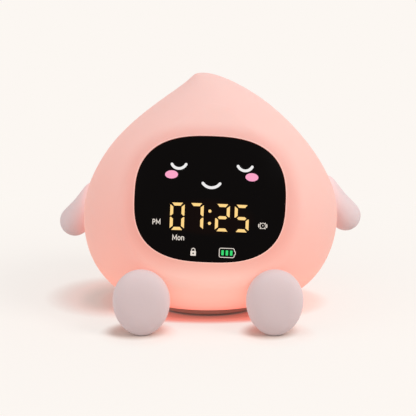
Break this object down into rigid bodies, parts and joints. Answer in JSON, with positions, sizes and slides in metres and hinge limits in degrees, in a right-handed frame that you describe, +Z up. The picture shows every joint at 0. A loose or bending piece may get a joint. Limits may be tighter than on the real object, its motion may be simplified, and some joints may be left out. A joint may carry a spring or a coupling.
{
  "type": "kids alarm clock with night light",
  "caption": "Peach-shaped silicone night light with a smoked clock window, soft arms and legs, and a rear key panel.",
  "frame": {"origin": "on the table, at the middle of the anti-slip pad's underside", "axes": "+Z up, -Y out of the clock's face, +X to the right of someone looking at the face"},
  "size_m": [0.1625, 0.1118, 0.121],
  "materials": {
    "shade_silicone": "soft translucent silicone, lit from inside",
    "limb_silicone": "matt soft-touch silicone",
    "smoked_window": "smoked, polished",
    "black_plastic": "fine moulded grain",
    "light_guide": "milky diffuser",
    "circuit_board": "green solder mask",
    "lamp_chip": "cast phosphor",
    "screw_steel": "zinc plated",
    "white_plastic": "fine moulded grain",
    "warm_grey_plastic": "fine moulded grain",
    "grey_plastic": "satin moulded",
    "pad_rubber": "matt anti-slip silicone",
    "battery_foil": "crimped foil pouch",
    "foam": "adhesive foam",
    "speaker_paper": "pressed paper cone"
  },
  "bodies": {
    "root": {"shade": "shade_silicone", "arm_left": "limb_silicone", "arm_right": "limb_silicone", "leg_left": "limb_silicone", "leg_right": "limb_silicone", "lens": "smoked_window", "display_frame": "black_plastic", "light_mask": "black_plastic", "digit_guides": "light_guide", "sign_guides": "light_guide", "face_guides": "light_guide", "display_board": "circuit_board", "display_leds": "lamp_chip", "display_screws": "screw_steel", "chassis": "white_plastic", "base_plate": "warm_grey_plastic", "base_pad": "pad_rubber", "base_screws": "screw_steel", "light_board": "circuit_board", "light_leds": "lamp_chip", "light_screws": "screw_steel", "tap_sensor": "black_plastic", "battery": "battery_foil", "battery_foam": "foam", "rear_panel": "white_plastic", "panel_screws": "screw_steel", "key_switches": "black_plastic", "power_switch": "screw_steel", "usb_socket": "screw_steel", "speaker_frame": "screw_steel", "speaker_cone": "speaker_paper", "speaker_magnet": "screw_steel", "main_board": "circuit_board", "board_screws": "screw_steel", "control_chip": "black_plastic", "clock_crystal": "screw_steel", "lead_headers": "white_plastic"},
    "power_knob": {"power_knob": "grey_plastic"},
    "key_alarm": {"key_alarm": "grey_plastic", "plunger_alarm": "black_plastic"},
    "key_down": {"key_down": "grey_plastic", "plunger_down": "black_plastic"},
    "key_mode": {"key_mode": "grey_plastic", "plunger_mode": "black_plastic"},
    "key_up": {"key_up": "grey_plastic", "plunger_up": "black_plastic"},
    "key_light": {"key_light": "grey_plastic", "plunger_light": "black_plastic"}
  },
  "joints": [
    {"name": "press_alarm", "type": "slide", "parent": "root", "child": "key_alarm", "axis": [0, -1, 0], "range_m": [0, 0.0005], "stiffness_N_per_m": 1200},
    {"name": "press_down", "type": "slide", "parent": "root", "child": "key_down", "axis": [0, -1, 0], "range_m": [0, 0.0005], "stiffness_N_per_m": 1200},
    {"name": "press_mode", "type": "slide", "parent": "root", "child": "key_mode", "axis": [0, -1, 0], "range_m": [0, 0.0005], "stiffness_N_per_m": 1200},
    {"name": "press_up", "type": "slide", "parent": "root", "child": "key_up", "axis": [0, -1, 0], "range_m": [0, 0.0005], "stiffness_N_per_m": 1200},
    {"name": "press_light", "type": "slide", "parent": "root", "child": "key_light", "axis": [0, -1, 0], "range_m": [0, 0.0005], "stiffness_N_per_m": 1200},
    {"name": "power_slide", "type": "slide", "parent": "root", "child": "power_knob", "axis": [-1, 0, 0], "range_m": [0, 0.002]}
  ]
}
